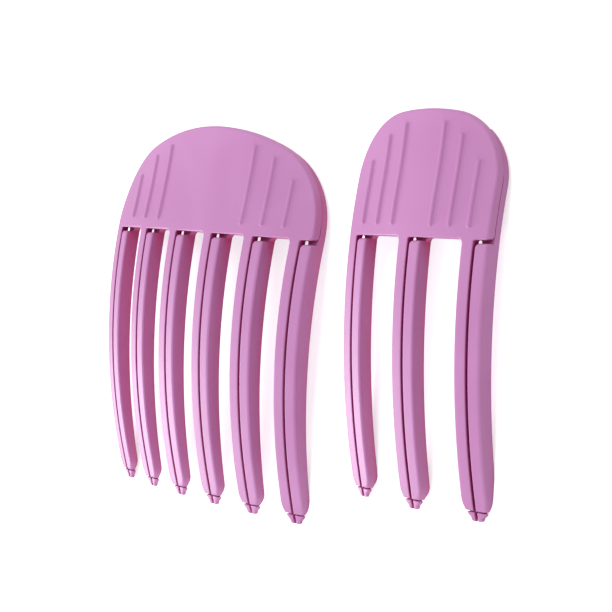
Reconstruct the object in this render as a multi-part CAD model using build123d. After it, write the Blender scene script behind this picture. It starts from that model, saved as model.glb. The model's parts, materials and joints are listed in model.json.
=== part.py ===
from build123d import *

import os
from dataclasses import dataclass
from math import asin, atan2, cos, degrees, radians, sin, sqrt, tan

# Two root clips in millimetres, lying convex side up: X across the tines, Y along them towards
# the heads, Z up. Each clip is two nested combs. The front comb is the front half of the head's
# thickness with the left half of every tine. The rear comb is the rear half with the right halves.

# Shared by both clips.
half_tine_width = 3.2
split_gap = 0.55
parting_gap = 0.16
window_round = 1.0
shoulder_round = 0.9
rear_inset = 0.7
tine_edge_chamfer = 0.5
tine_depth_shares = (0.93, 0.56, 0.32)
heel_length = 3.0
tip_curve_length = 2.8
tip_curve_inset = 0.9
nub_setback = 0.35
nub_depths = (0.9, 0.5)
nub_half_widths = (2.15, 1.25)
nub_root = 0.45
nub_round = 0.4
rib_width = 1.1
rib_height = 0.5
rib_root = 0.3
overrun = 6.0

# The hinge is the same on both clips.
axis_below_top = 3.7
axis_depth_share = 0.74
seam_gap = 0.2
opening_angle = 20.0
opening_spare = 1.0
pin_radius = 0.75
pin_running_clearance = 0.05
pin_end_recess = 0.3
pin_end_chamfer = 0.2
knuckle_radius = 2.0
knuckle_clearance = 0.25
knuckle_side_gap = 0.15
spring_bay_half = 3.0
rear_knuckle_length = 3.0
front_knuckle_length = 3.0

# Torsion spring round the pin.
wire_radius = 0.3
coil_radius = 1.2
coil_turns = 4
coil_pitch = 1.2
coil_clearance = 0.3
samples_per_arc = 8
up_leg = 2.6
down_leg = 9.0
leg_groove_depth = 0.35
leg_groove_width = 0.9

# Wide clip, six tines.
wide_tines = 6
wide_pitch = 14.4
wide_thickness = 4.05
wide_cross_radius = 178.0
wide_tine_radius = 138.0
wide_crest_to_edge = 15.0
wide_brow_radius = 110.0
wide_edge_to_bend = 5.0
wide_lip_radius = 180.0
wide_head_height = 26.2
wide_side_height = 1.1
wide_corner_radius = 21.7
wide_tine_length = 64.2
wide_nub_length = 2.5
wide_shoulder_gap = 1.0
wide_tine_fan = 0.7
wide_rib_outer = 30.4
wide_rib_spacing = 6.8
wide_rib_foot = 2.4
wide_rib_length_shares = (0.525, 0.72, 0.82)

# Narrow clip, three tines.
narrow_tines = 3
narrow_pitch = 17.6
narrow_thickness = 3.8
narrow_cross_radius = 110.0
narrow_tine_radius = 160.0
narrow_crest_to_edge = 11.0
narrow_brow_radius = 140.0
narrow_edge_to_bend = 11.0
narrow_lip_radius = 145.0
narrow_head_height = 27.4
narrow_side_height = 11.8
narrow_corner_radius = 15.1
narrow_tine_length = 56.0
narrow_nub_length = 2.3
narrow_shoulder_gap = 0.7
narrow_tine_fan = 0.3
narrow_rib_outer = 15.9
narrow_rib_spacing = 5.05
narrow_rib_foot = 2.3
narrow_rib_length_shares = (0.6, 0.8, 0.89)

# The narrow clip lies beside the wide one.
clip_spacing = 73.1
clip_offset = 6.2
narrow_turn = 1.0


@dataclass(frozen=True)
class Clip:
    """Sizes of one clip, in its own frame: crest of the middle section at the origin."""

    name: str
    tines: int
    pitch: float
    thickness: float
    cross_radius: float
    tine_radius: float
    edge: float
    brow_radius: float
    bend: float
    lip_radius: float
    head_height: float
    side_height: float
    corner_radius: float
    tine_length: float
    nub_length: float
    shoulder_gap: float
    fan: float
    rib_places: tuple
    rib_foot: float
    rib_length_shares: tuple

    @property
    def half_width(self):
        """Half of the head's width, whose sides run straight on into the outer tines."""
        return (self.tines - 1) / 2 * self.pitch + half_tine_width

    @property
    def top(self):
        """Place of the head's top edge along the profile."""
        return self.edge + self.head_height

    @property
    def hinge(self):
        """Place of the hinge axis along the profile."""
        return self.top - axis_below_top

    @property
    def step(self):
        """Place where each tine steps down to its nub."""
        return self.edge - self.tine_length

    @property
    def tip(self):
        """Place of the nub's end."""
        return self.step - self.nub_length

    @property
    def shoulder(self):
        """Place of the tops of the tine halves that stop short of the other comb's plate."""
        return self.edge - self.shoulder_gap

    @property
    def front_half(self):
        """Depth of the front comb's plate."""
        return (self.thickness - parting_gap) / 2

    @property
    def rear_half(self):
        """Depth at which the rear comb's plate starts."""
        return (self.thickness + parting_gap) / 2

    @property
    def long_axis(self):
        """Axis that the cross curve goes round."""
        return Axis((0, 0, -self.cross_radius), (0, 1, 0))

    def centres(self):
        """X of each tine's split line at the head's edge."""
        return [(i - (self.tines - 1) / 2) * self.pitch for i in range(self.tines)]

    def turn(self, place):
        """Angle of the profile's tangent to Y, positive where it falls away."""
        if place <= self.edge:
            return place / self.tine_radius
        brow = self.edge / self.tine_radius + (min(place, self.bend) - self.edge) / self.brow_radius
        return brow - max(place - self.bend, 0) / self.lip_radius

    def at(self, place, depth):
        """(Y, Z) of a point on the middle section, by length along the front and depth below it."""
        low, high = self.turn(min(place, self.edge)), self.turn(min(max(place, self.edge), self.bend))
        y, z = self.tine_radius * sin(low), self.tine_radius * (cos(low) - 1)
        y += self.brow_radius * (sin(high) - sin(self.turn(self.edge))) if place > self.edge else 0
        z += self.brow_radius * (cos(high) - cos(self.turn(self.edge))) if place > self.edge else 0
        last = self.turn(place)
        if place > self.bend:
            y += self.lip_radius * (sin(high) - sin(last))
            z += self.lip_radius * (cos(high) - cos(last))
        return y - depth * sin(last), z - depth * cos(last)

    def drop(self, x, place, depth):
        """Z of the surface at X on the section through a place, at a depth below the front."""
        radius = self.cross_radius + self.at(place, depth)[1]
        return sqrt(radius**2 - x**2) - self.cross_radius


WIDE = Clip(
    "wide", wide_tines, wide_pitch, wide_thickness, wide_cross_radius, wide_tine_radius,
    wide_crest_to_edge, wide_brow_radius, wide_crest_to_edge + wide_edge_to_bend, wide_lip_radius,
    wide_head_height, wide_side_height, wide_corner_radius, wide_tine_length, wide_nub_length,
    wide_shoulder_gap, wide_tine_fan,
    tuple(wide_rib_outer - i * wide_rib_spacing for i in range(len(wide_rib_length_shares))),
    wide_rib_foot, wide_rib_length_shares,
)
NARROW = Clip(
    "narrow", narrow_tines, narrow_pitch, narrow_thickness, narrow_cross_radius,
    narrow_tine_radius, narrow_crest_to_edge, narrow_brow_radius,
    narrow_crest_to_edge + narrow_edge_to_bend, narrow_lip_radius, narrow_head_height, narrow_side_height, narrow_corner_radius,
    narrow_tine_length, narrow_nub_length, narrow_shoulder_gap, narrow_tine_fan,
    tuple(narrow_rib_outer - i * narrow_rib_spacing for i in range(len(narrow_rib_length_shares))),
    narrow_rib_foot, narrow_rib_length_shares,
)


def swept_round(clip, profile):
    """Closed profile on the middle section, carried round the cross curve over the whole width."""
    spread = degrees(asin((clip.half_width + overrun) / clip.cross_radius))
    band = (Plane.YZ * make_face(profile)).rotate(clip.long_axis, -spread)
    return revolve(band, axis=clip.long_axis, revolution_arc=2 * spread)


def face_arcs(clip, depth, low, high):
    """Arcs of the profile at one depth between two places, one for each of its curves."""
    stops = [low, *[place for place in (clip.edge, clip.bend) if low < place < high], high]
    return [
        ThreePointArc(*(clip.at(place, depth) for place in (start, (start + end) / 2, end)))
        for start, end in zip(stops, stops[1:])
    ]


def shell(clip, near, far, low, high):
    """Curved sheet between two depths and two places along the profile."""
    ends = [Line(clip.at(place, near), clip.at(place, far)) for place in (low, high)]
    return swept_round(clip, ends + face_arcs(clip, near, low, high) + face_arcs(clip, far, low, high))


def blank(clip, high):
    """Full thickness of the clip up to a place, with the tines thinning behind towards their tips."""
    heel = clip.step + heel_length
    middle, low_depth, step_depth = (share * clip.thickness for share in tine_depth_shares)
    back = ThreePointArc(
        clip.at(clip.edge, clip.thickness), clip.at((clip.edge + heel) / 2, middle), clip.at(heel, low_depth)
    )
    end = clip.at(clip.step, step_depth)
    profile = [
        Line(clip.at(clip.step, 0), end),
        TangentArc(back @ 1, end, tangent=back % 1),
        back,
        Line(clip.at(high, 0), clip.at(high, clip.thickness)),
    ]
    profile += face_arcs(clip, 0, clip.step, high)
    return swept_round(clip, profile + face_arcs(clip, clip.thickness, clip.edge, high))


def column(clip, plan):
    """Plan shape carried through the whole clip along the mould's draw."""
    return extrude(plan, clip.cross_radius / 2, both=True)


def head_plan(clip, inset):
    """The head seen along Z: upright sides, then a corner arc and a flatter top arc.

    The inset lowers the arcs and leaves the sides where they are.
    """
    half, radius = clip.half_width, clip.corner_radius
    low = clip.at(clip.edge, 0)[0]
    spring_line = low + clip.side_height - inset
    rise = clip.at(clip.top, 0)[0] - inset - spring_line
    top_radius = ((half - radius) ** 2 + rise**2 - radius**2) / (2 * (rise - radius))
    centre_x, top_centre = half - radius, spring_line + rise - top_radius
    meet = atan2(spring_line - top_centre, centre_x)
    corner = [
        (centre_x + radius * cos(meet * share), spring_line + radius * sin(meet * share))
        for share in (0, 0.5, 1)
    ]
    other = [(-x, y) for x, y in corner]
    outline = [
        Line((-half, low), (half, low)),
        Line((half, low), corner[0]),
        ThreePointArc(*corner),
        ThreePointArc(corner[2], (0, spring_line + rise), other[2]),
        ThreePointArc(*other),
        Line(other[0], (-half, low)),
    ]
    return make_face(outline)


def leant(clip, x, side, across, along):
    """Plan point of a half-tine, by distance from its split line and Y above the head's edge."""
    return x + side * across + radians(clip.fan) * x / clip.pitch * along, clip.at(clip.edge, 0)[0] + along


def half_tine_plan(clip, x, side):
    """Plan of the left (-1) or right (+1) half of the tine at X, curving in at its tip."""
    low = clip.at(clip.step, 0)[0] - clip.at(clip.edge, 0)[0]
    inner, outer = split_gap / 2, half_tine_width
    points = [
        leant(clip, x, side, *point)
        for point in (
            (inner, low), (inner, 0), (outer, 0), (outer, low + tip_curve_length),
            (outer - tip_curve_inset, low),
        )
    ]
    flank = Line(*points[2:4])
    sides = [Line(*points[:2]), Line(*points[1:3]), flank, TangentArc(*points[3:], tangent=flank % 1)]
    return make_face([*sides, Line(points[4], points[0])])


def nub_plan(clip, x, side):
    """Plan of a half-tine's slimmer end, from inside the tine to its tip."""
    y_edge = clip.at(clip.edge, 0)[0]
    root, step, tip = (clip.at(p, 0)[0] - y_edge for p in (clip.step + nub_root, clip.step, clip.tip))
    wide, slim = nub_half_widths
    shape = Polyline(*(
        leant(clip, x, side, *point)
        for point in (
            (split_gap / 2, root), (wide, root), (wide, step), (slim, tip), (split_gap / 2, tip)
        )
    ), close=True)
    plan = make_face(shape)
    outer_tip = plan.vertices().sort_by(Axis.Y)[:2].sort_by(Axis.X)[-1 if side > 0 else 0]
    return fillet(outer_tip, nub_round)


def joined(shapes):
    """All the shapes fused into the first."""
    return shapes[0].fuse(*shapes[1:])


def comb_plan(clip, side, inset):
    """Head with half-tines on one side of the splits, and rounded corners between them."""
    plan = head_plan(clip, inset) + [half_tine_plan(clip, x, side) for x in clip.centres()]
    low = clip.at(clip.edge, 0)[0]
    places = [x + side * half_tine_width for x in clip.centres() if x * side < max(clip.centres())]
    if side < 0:
        places.append(clip.half_width)
    corners = [
        vertex
        for vertex in plan.vertices()
        if abs(vertex.Y - low) < split_gap / 2 and min(abs(vertex.X - x) for x in places) < split_gap / 2
    ]
    return fillet(corners, window_round)


def above_shoulders(clip):
    """Plan of all that lies above the shoulders of the half-tines, down their rounded corners."""
    y_edge, y_shoulder, y_top = (clip.at(p, 0)[0] for p in (clip.edge, clip.shoulder, clip.top + overrun))
    plan = Pos(0, (y_shoulder + y_top) / 2) * Rectangle(2 * (clip.half_width + overrun), y_top - y_shoulder)
    inner, bend = split_gap / 2, shoulder_round * (1 - sqrt(0.5))
    for x in clip.centres():
        above, start, low, middle, beside, over = (
            leant(clip, x, 1, across, y_shoulder - y_edge + along)
            for across, along in (
                (0, shoulder_round), (0, -shoulder_round), (inner, -shoulder_round),
                (inner + bend, -bend), (inner + shoulder_round, 0), (inner + shoulder_round, shoulder_round),
            )
        )
        corner = [Line(above, start), Line(start, low), ThreePointArc(low, middle, beside)]
        plan += make_face([*corner, Line(beside, over), Line(over, above)])
    return plan


def tine_edge_cutters(clip, side):
    """What the chamfers on the front outer edges of the half-tines leave away."""
    high = clip.edge - window_round if side < 0 else clip.shoulder
    places = (high, (high + clip.step) / 2, clip.step - overrun)
    reach = tine_edge_chamfer + overrun
    corner = make_face(Polyline(
        (-side * reach, overrun), (side * overrun, -reach), (side * overrun, overrun), close=True
    ))
    cutters = []
    for x in clip.centres():
        points = []
        for place in places:
            y = clip.at(place, 0)[0]
            outer = leant(clip, x, side, half_tine_width, y - clip.at(clip.edge, 0)[0])[0]
            points.append(Vector(outer, y, clip.drop(outer, place, 0)))
        path = ThreePointArc(*points)
        along = path % 0
        seat = Plane(origin=path @ 0, x_dir=Vector(0, 0, 1).cross(along), z_dir=along)
        cutters.append(sweep(seat * corner, path=path))
    return cutters


def hinge_plane(clip):
    """Frame on the hinge axis: X along it, Y up the head, Z out of the front."""
    depth = axis_depth_share * clip.thickness
    turn = clip.turn(clip.hinge)
    return Plane(origin=(0, *clip.at(clip.hinge, depth)), x_dir=(1, 0, 0), z_dir=(0, sin(turn), cos(turn)))


def rod(clip, radius, start, end):
    """Round bar on the hinge axis between two distances from the middle."""
    return hinge_plane(clip) * Pos((start + end) / 2, 0, 0) * Rot(0, 90, 0) * Cylinder(radius, end - start)


def both_ends(clip, radius, start, end):
    """The same round bar on each side of the middle."""
    return [rod(clip, radius, start, end), rod(clip, radius, -end, -start)]


rear_knuckle_end = spring_bay_half + rear_knuckle_length
hinge_end = rear_knuckle_end + front_knuckle_length
coil_half = coil_turns * coil_pitch / 2
half_turn_length = coil_radius * radians(180)


def ribs(clip):
    """Raised ribs on the front of the head, three a side, the outer ones shorter."""
    low = clip.at(clip.edge, 0)[0] + clip.rib_foot
    plans = []
    for x, share in zip(clip.rib_places, clip.rib_length_shares):
        length = share * clip.head_height - clip.rib_foot
        slot = Rot(0, 0, 90) * SlotOverall(length, rib_width)
        plans += [Pos(end * x, low + length / 2) * slot for end in (-1, 1)]
    skin = shell(clip, -rib_height, rib_root, clip.edge, clip.top)
    return skin & joined([column(clip, plan) for plan in plans])


def leg_groove(clip, x, start, end):
    """Shallow groove in the rear face for one leg of the spring."""
    floor = clip.thickness - leg_groove_depth - axis_depth_share * clip.thickness
    cut = Box(leg_groove_width, end - start, overrun)
    return hinge_plane(clip) * Pos(x, (start + end) / 2, -floor - overrun / 2) * cut


def nubs(clip, side):
    """Slimmer ends of the half-tines below their step, set back from the front."""
    root, tip = (nub_setback + depth for depth in nub_depths)
    profile = Polyline(
        clip.at(clip.tip, nub_setback), clip.at(clip.tip, tip), clip.at(clip.step, root),
        clip.at(clip.step + nub_root, root), clip.at(clip.step + nub_root, nub_setback), close=True,
    )
    skin = swept_round(clip, profile)
    return skin & joined([column(clip, nub_plan(clip, x, side)) for x in clip.centres()])


def seam_room(clip, way):
    """What the lip (+1) or the rear plate (-1) leaves free along the hinge.

    The faces are a small gap apart in front of the axis and splay behind it, where the rear comb
    turns towards the lip as it opens.
    """
    far = clip.cross_radius / 2
    splay = tan(radians((opening_angle + opening_spare) / 2))
    near = way * seam_gap / 2
    section = make_face(Polyline(
        (near, overrun), (near, 0), (near + way * far * splay, -far), (-way * far, -far),
        (-way * far, overrun), close=True,
    ))
    half = clip.half_width + overrun
    seat = hinge_plane(clip)
    across = Plane(origin=seat.origin - Vector(half, 0, 0), x_dir=seat.y_dir, z_dir=(1, 0, 0))
    return extrude(across * section, 2 * half)


def front_comb(clip):
    """Front plate, ribs, left half-tines, full-depth lip above the hinge, and outer knuckles."""
    body = blank(clip, clip.top + overrun) & column(clip, comb_plan(clip, -1, 0))
    behind = shell(
        clip, clip.front_half, clip.thickness + overrun, clip.shoulder - overrun, clip.top + 2 * overrun
    )
    body -= behind & column(clip, above_shoulders(clip)) & seam_room(clip, 1)
    body -= behind & column(clip, head_plan(clip, -overrun) - head_plan(clip, rear_inset))
    body += nubs(clip, -1)
    body -= tine_edge_cutters(clip, -1)
    body += ribs(clip)
    body += both_ends(clip, knuckle_radius, rear_knuckle_end, hinge_end)
    bay = rod(clip, knuckle_radius + knuckle_clearance, -rear_knuckle_end, rear_knuckle_end)
    bore = rod(clip, pin_radius, -hinge_end, hinge_end)
    return body - bay - bore - leg_groove(clip, -coil_half, 0, up_leg + wire_radius + coil_clearance)


def rear_comb(clip):
    """Rear plate up to the hinge, right half-tines and inner knuckles."""
    body = blank(clip, clip.top) & column(clip, comb_plan(clip, 1, rear_inset))
    body -= seam_room(clip, -1)
    before = shell(clip, -overrun, clip.rear_half, clip.shoulder - overrun, clip.top + overrun)
    body -= before & column(clip, above_shoulders(clip))
    body += nubs(clip, 1)
    body -= tine_edge_cutters(clip, 1)
    end = rear_knuckle_end - knuckle_side_gap
    body += both_ends(clip, knuckle_radius, spring_bay_half, end)
    notches = both_ends(clip, knuckle_radius + knuckle_clearance, end, hinge_end + knuckle_side_gap)
    coil_bay = rod(clip, coil_radius + wire_radius + coil_clearance, -spring_bay_half, spring_bay_half)
    bore = rod(clip, pin_radius + pin_running_clearance, -rear_knuckle_end, rear_knuckle_end)
    leg = leg_groove(clip, coil_half, -down_leg - wire_radius - coil_clearance, 0)
    return body - notches - coil_bay - bore - leg


def hinge_pin(clip):
    """Steel pin, pressed in the front comb's knuckles."""
    length = hinge_end - pin_end_recess
    pin = rod(clip, pin_radius, -length, length)
    return chamfer(pin.edges().filter_by(GeomType.CIRCLE), pin_end_chamfer)


def biarc(start, start_way, end, end_way):
    """Two arcs that leave one point and reach another along given directions."""
    span = end - start
    both = start_way + end_way
    gap = 2 * (1 - start_way.dot(end_way))
    along = span.dot(both)
    reach = (sqrt(along**2 + gap * span.dot(span)) - along) / gap
    first, last = start + start_way * reach, end - end_way * reach
    middle = (first + last) / 2
    return [
        TangentArc(start, middle, tangent=start_way),
        TangentArc(middle, end, tangent=(last - first).normalized()),
    ]


def own_gap(path):
    """Least gap between parts of the wire that lie at least half a turn apart, on points."""
    points = [piece @ (step / samples_per_arc) for piece in path for step in range(samples_per_arc)]
    apart = 2 * samples_per_arc
    return min(
        (b - a).length for i, a in enumerate(points) for b in points[i + apart:]
    ) - 2 * wire_radius


def torsion_spring(clip):
    """Coil round the pin with one leg up in the lip's groove and one down the rear plate."""
    halves = 2 * coil_turns
    points, ways = [], []
    for i in range(halves + 1):
        side = 1 if i % 2 else -1
        points.append(Vector(coil_pitch * i / 2 - coil_half, 0, side * coil_radius))
        ways.append(Vector(coil_pitch / 2, side * half_turn_length, 0).normalized())
    ways[0] = ways[-1] = Vector(0, -1, 0)
    path = [Line(points[0] + Vector(0, up_leg, 0), points[0])]
    for i in range(halves):
        path += biarc(points[i], ways[i], points[i + 1], ways[i + 1])
    path.append(Line(points[-1], points[-1] - Vector(0, down_leg, 0)))
    print(f"{clip.name} spring, least gap to itself in mm: {own_gap(path):.2f}")
    start = Plane(origin=path[0] @ 0, z_dir=path[0] % 0)
    return hinge_plane(clip) * sweep(start * RegularPolygon(wire_radius, 6), path=Wire(path))


def resting(clip):
    """Tilt in degrees that lays the tips and the head on one level."""
    reach = clip.half_width - radians(clip.fan) * (clip.tines - 1) / 2 * clip.tine_length - tip_curve_inset
    tip = (clip.at(clip.step, 0)[0], clip.drop(reach, clip.step, tine_depth_shares[-1] * clip.thickness))
    half, radius = clip.half_width, clip.corner_radius + rear_inset
    slopes = []
    for share in (0, 0.25, 0.5, 0.75, 1):
        turn = radians(90) * share
        x = half - radius * (1 - cos(turn))
        place = clip.edge + clip.side_height + radius * sin(turn)
        slopes.append(atan2(
            clip.drop(x, place, clip.thickness) - tip[1], clip.at(place, 0)[0] - tip[0]
        ))
    return degrees(min(slopes))


def assemble(clip, x, y, turn):
    """The clip's pieces by node name, laid on the ground with the clip's middle at X, Y."""
    pieces = {
        "front_comb": front_comb(clip),
        "rear_comb": rear_comb(clip),
        "hinge_pin": hinge_pin(clip),
        "torsion_spring": torsion_spring(clip),
    }
    tilted = {name: Rot(-resting(clip), 0, 0) * piece for name, piece in pieces.items()}
    low = min(piece.bounding_box().min.Z for piece in tilted.values())
    place = Pos(x, y, -low) * Rot(0, 0, turn)
    return {f"{clip.name}_{name}": place * piece for name, piece in tilted.items()}


if __name__ == "__main__":
    os.makedirs("parts", exist_ok=True)
    nodes = assemble(WIDE, 0, 0, 0) | assemble(NARROW, clip_spacing, clip_offset, narrow_turn)
    boxes = [piece.bounding_box() for piece in nodes.values()]
    low = [min(getattr(box.min, axis) for box in boxes) for axis in "XY"]
    high = [max(getattr(box.max, axis) for box in boxes) for axis in "XY"]
    centre = Pos(*(-(a + b) / 2 for a, b in zip(low, high)), 0)
    for name, piece in nodes.items():
        export_step(centre * piece, f"parts/{name}.step")
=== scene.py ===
"""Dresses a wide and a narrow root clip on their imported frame: moulded combs, pins and springs."""

import json
import logging
from abc import ABC, abstractmethod
from dataclasses import asdict, dataclass
from enum import Enum
from math import asin, atan2, cos, pi, radians, sin, sqrt, tan
from typing import Iterable, Sequence

import bmesh
import bpy
from mathutils import Matrix, Vector

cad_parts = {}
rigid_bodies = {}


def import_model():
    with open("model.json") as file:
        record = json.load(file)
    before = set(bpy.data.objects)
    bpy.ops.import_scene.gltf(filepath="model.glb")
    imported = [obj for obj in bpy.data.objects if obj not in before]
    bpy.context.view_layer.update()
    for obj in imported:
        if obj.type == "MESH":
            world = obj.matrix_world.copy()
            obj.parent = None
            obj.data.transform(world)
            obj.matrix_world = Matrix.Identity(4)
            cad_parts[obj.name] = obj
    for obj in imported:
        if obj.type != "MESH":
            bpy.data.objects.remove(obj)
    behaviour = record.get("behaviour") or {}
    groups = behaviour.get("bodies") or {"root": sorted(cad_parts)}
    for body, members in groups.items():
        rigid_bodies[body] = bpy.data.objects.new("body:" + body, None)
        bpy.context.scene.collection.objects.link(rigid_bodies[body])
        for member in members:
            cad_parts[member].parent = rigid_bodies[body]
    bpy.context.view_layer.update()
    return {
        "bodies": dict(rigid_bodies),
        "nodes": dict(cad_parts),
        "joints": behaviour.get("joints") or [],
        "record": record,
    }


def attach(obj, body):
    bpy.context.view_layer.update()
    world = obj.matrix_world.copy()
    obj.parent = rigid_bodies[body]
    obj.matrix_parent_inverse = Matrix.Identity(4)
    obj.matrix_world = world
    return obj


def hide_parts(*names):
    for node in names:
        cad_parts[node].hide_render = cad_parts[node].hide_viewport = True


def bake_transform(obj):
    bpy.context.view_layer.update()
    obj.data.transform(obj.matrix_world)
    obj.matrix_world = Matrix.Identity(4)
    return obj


LOG = logging.getLogger("root_clips")

Point = tuple[float, float]
Ring = list[Vector]
Colour = tuple[float, float, float, float]
Solid = bmesh.types.BMesh
Socket = bpy.types.NodeSocket
Given = Socket | float | tuple[float, ...]

# A millimetre in metres, and the distances in millimetres below which points are one.
MM = 0.001
SAME_POINT = 1e-5
WELD = 1e-4

# A raised rib's section: half-widths of the rib and shares of its height, from the foot up.
RIB_PROFILE = ((1.5, -0.2), (1.2, 0.04), (1.04, 0.2), (0.88, 0.46), (0.68, 0.76), (0.4, 0.95), (0.06, 1.0))


class Side(Enum):
    """Which half of every tine a comb carries."""

    LEFT = -1
    RIGHT = 1


class Blend(Enum):
    """How two solids are put together."""

    JOIN = "UNION"
    CUT = "DIFFERENCE"


@dataclass(frozen=True)
class Arc:
    """A circle in the clip's middle section that a surface follows."""

    y: float
    z: float
    radius: float
    over: bool

    def height(self, y: float) -> float:
        """Height of the arc at a distance along the clip; it passes over its centre or under it."""
        rise = sqrt(max(self.radius**2 - (y - self.y) ** 2, 0.0))
        return self.z + rise if self.over else self.z - rise


@dataclass(frozen=True)
class RimPoint:
    """A corner of a moulded piece's outline, with the rounding of its front and rear rims."""

    x: float
    y: float
    near: float
    far: float


@dataclass(frozen=True)
class Rims:
    """Roundings in millimetres along the kinds of edges that the mould leaves."""

    shown: float = 0.5
    split: float = 0.2
    rear: float = 0.7


@dataclass(frozen=True)
class Hinge:
    """Sizes of the sprung hinge behind each head, in millimetres and degrees."""

    below_top: float = 3.7
    depth_share: float = 0.74
    seam_gap: float = 0.2
    splay: float = 10.5
    seam_behind: float = 12.0
    seam_before: float = 6.0
    seam_beyond: float = 9.0
    seam_past: float = 3.0
    lip_below: float = 2.0
    pin_radius: float = 0.75
    pin_clearance: float = 0.05
    pin_recess: float = 0.3
    pin_chamfer: float = 0.2
    knuckle_radius: float = 2.0
    knuckle_clearance: float = 0.25
    knuckle_chamfer: float = 0.2
    front_overlap: float = 0.1
    rear_overlap: float = 0.02
    side_gap: float = 0.15
    bay_half: float = 3.0
    rear_end: float = 6.0
    end: float = 9.0
    wire_radius: float = 0.3
    coil_radius: float = 1.2
    coil_turns: int = 4
    coil_pitch: float = 1.2
    coil_clearance: float = 0.3
    up_leg: float = 2.6
    down_leg: float = 9.0
    groove_depth: float = 0.35
    groove_width: float = 0.9
    groove_room: float = 5.0

    @property
    def knuckle_room(self) -> float:
        """Radius of the room round a knuckle of the other comb."""
        return self.knuckle_radius + self.knuckle_clearance

    @property
    def coil_half(self) -> float:
        """Half of the coil's length."""
        return self.coil_turns * self.coil_pitch / 2


@dataclass(frozen=True)
class NubForm:
    """Sizes of a half-tine's end in millimetres: a cover behind a groove, on a core inside the tine."""

    setback: float = 0.25
    depths: Point = (1.5, 0.9)
    halves: Point = (2.15, 1.35)
    root: float = 0.45
    groove: float = 0.28
    corner: float = 0.8
    corner_share: float = 0.7
    side_taper: float = 0.08
    side_length: float = 0.4
    cover_rim: float = 0.22
    core_inset: float = 0.3
    core_slimmer: float = 0.2
    core_front: float = 0.5
    core_thinner: float = 0.1
    core_rim: float = 0.05


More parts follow.
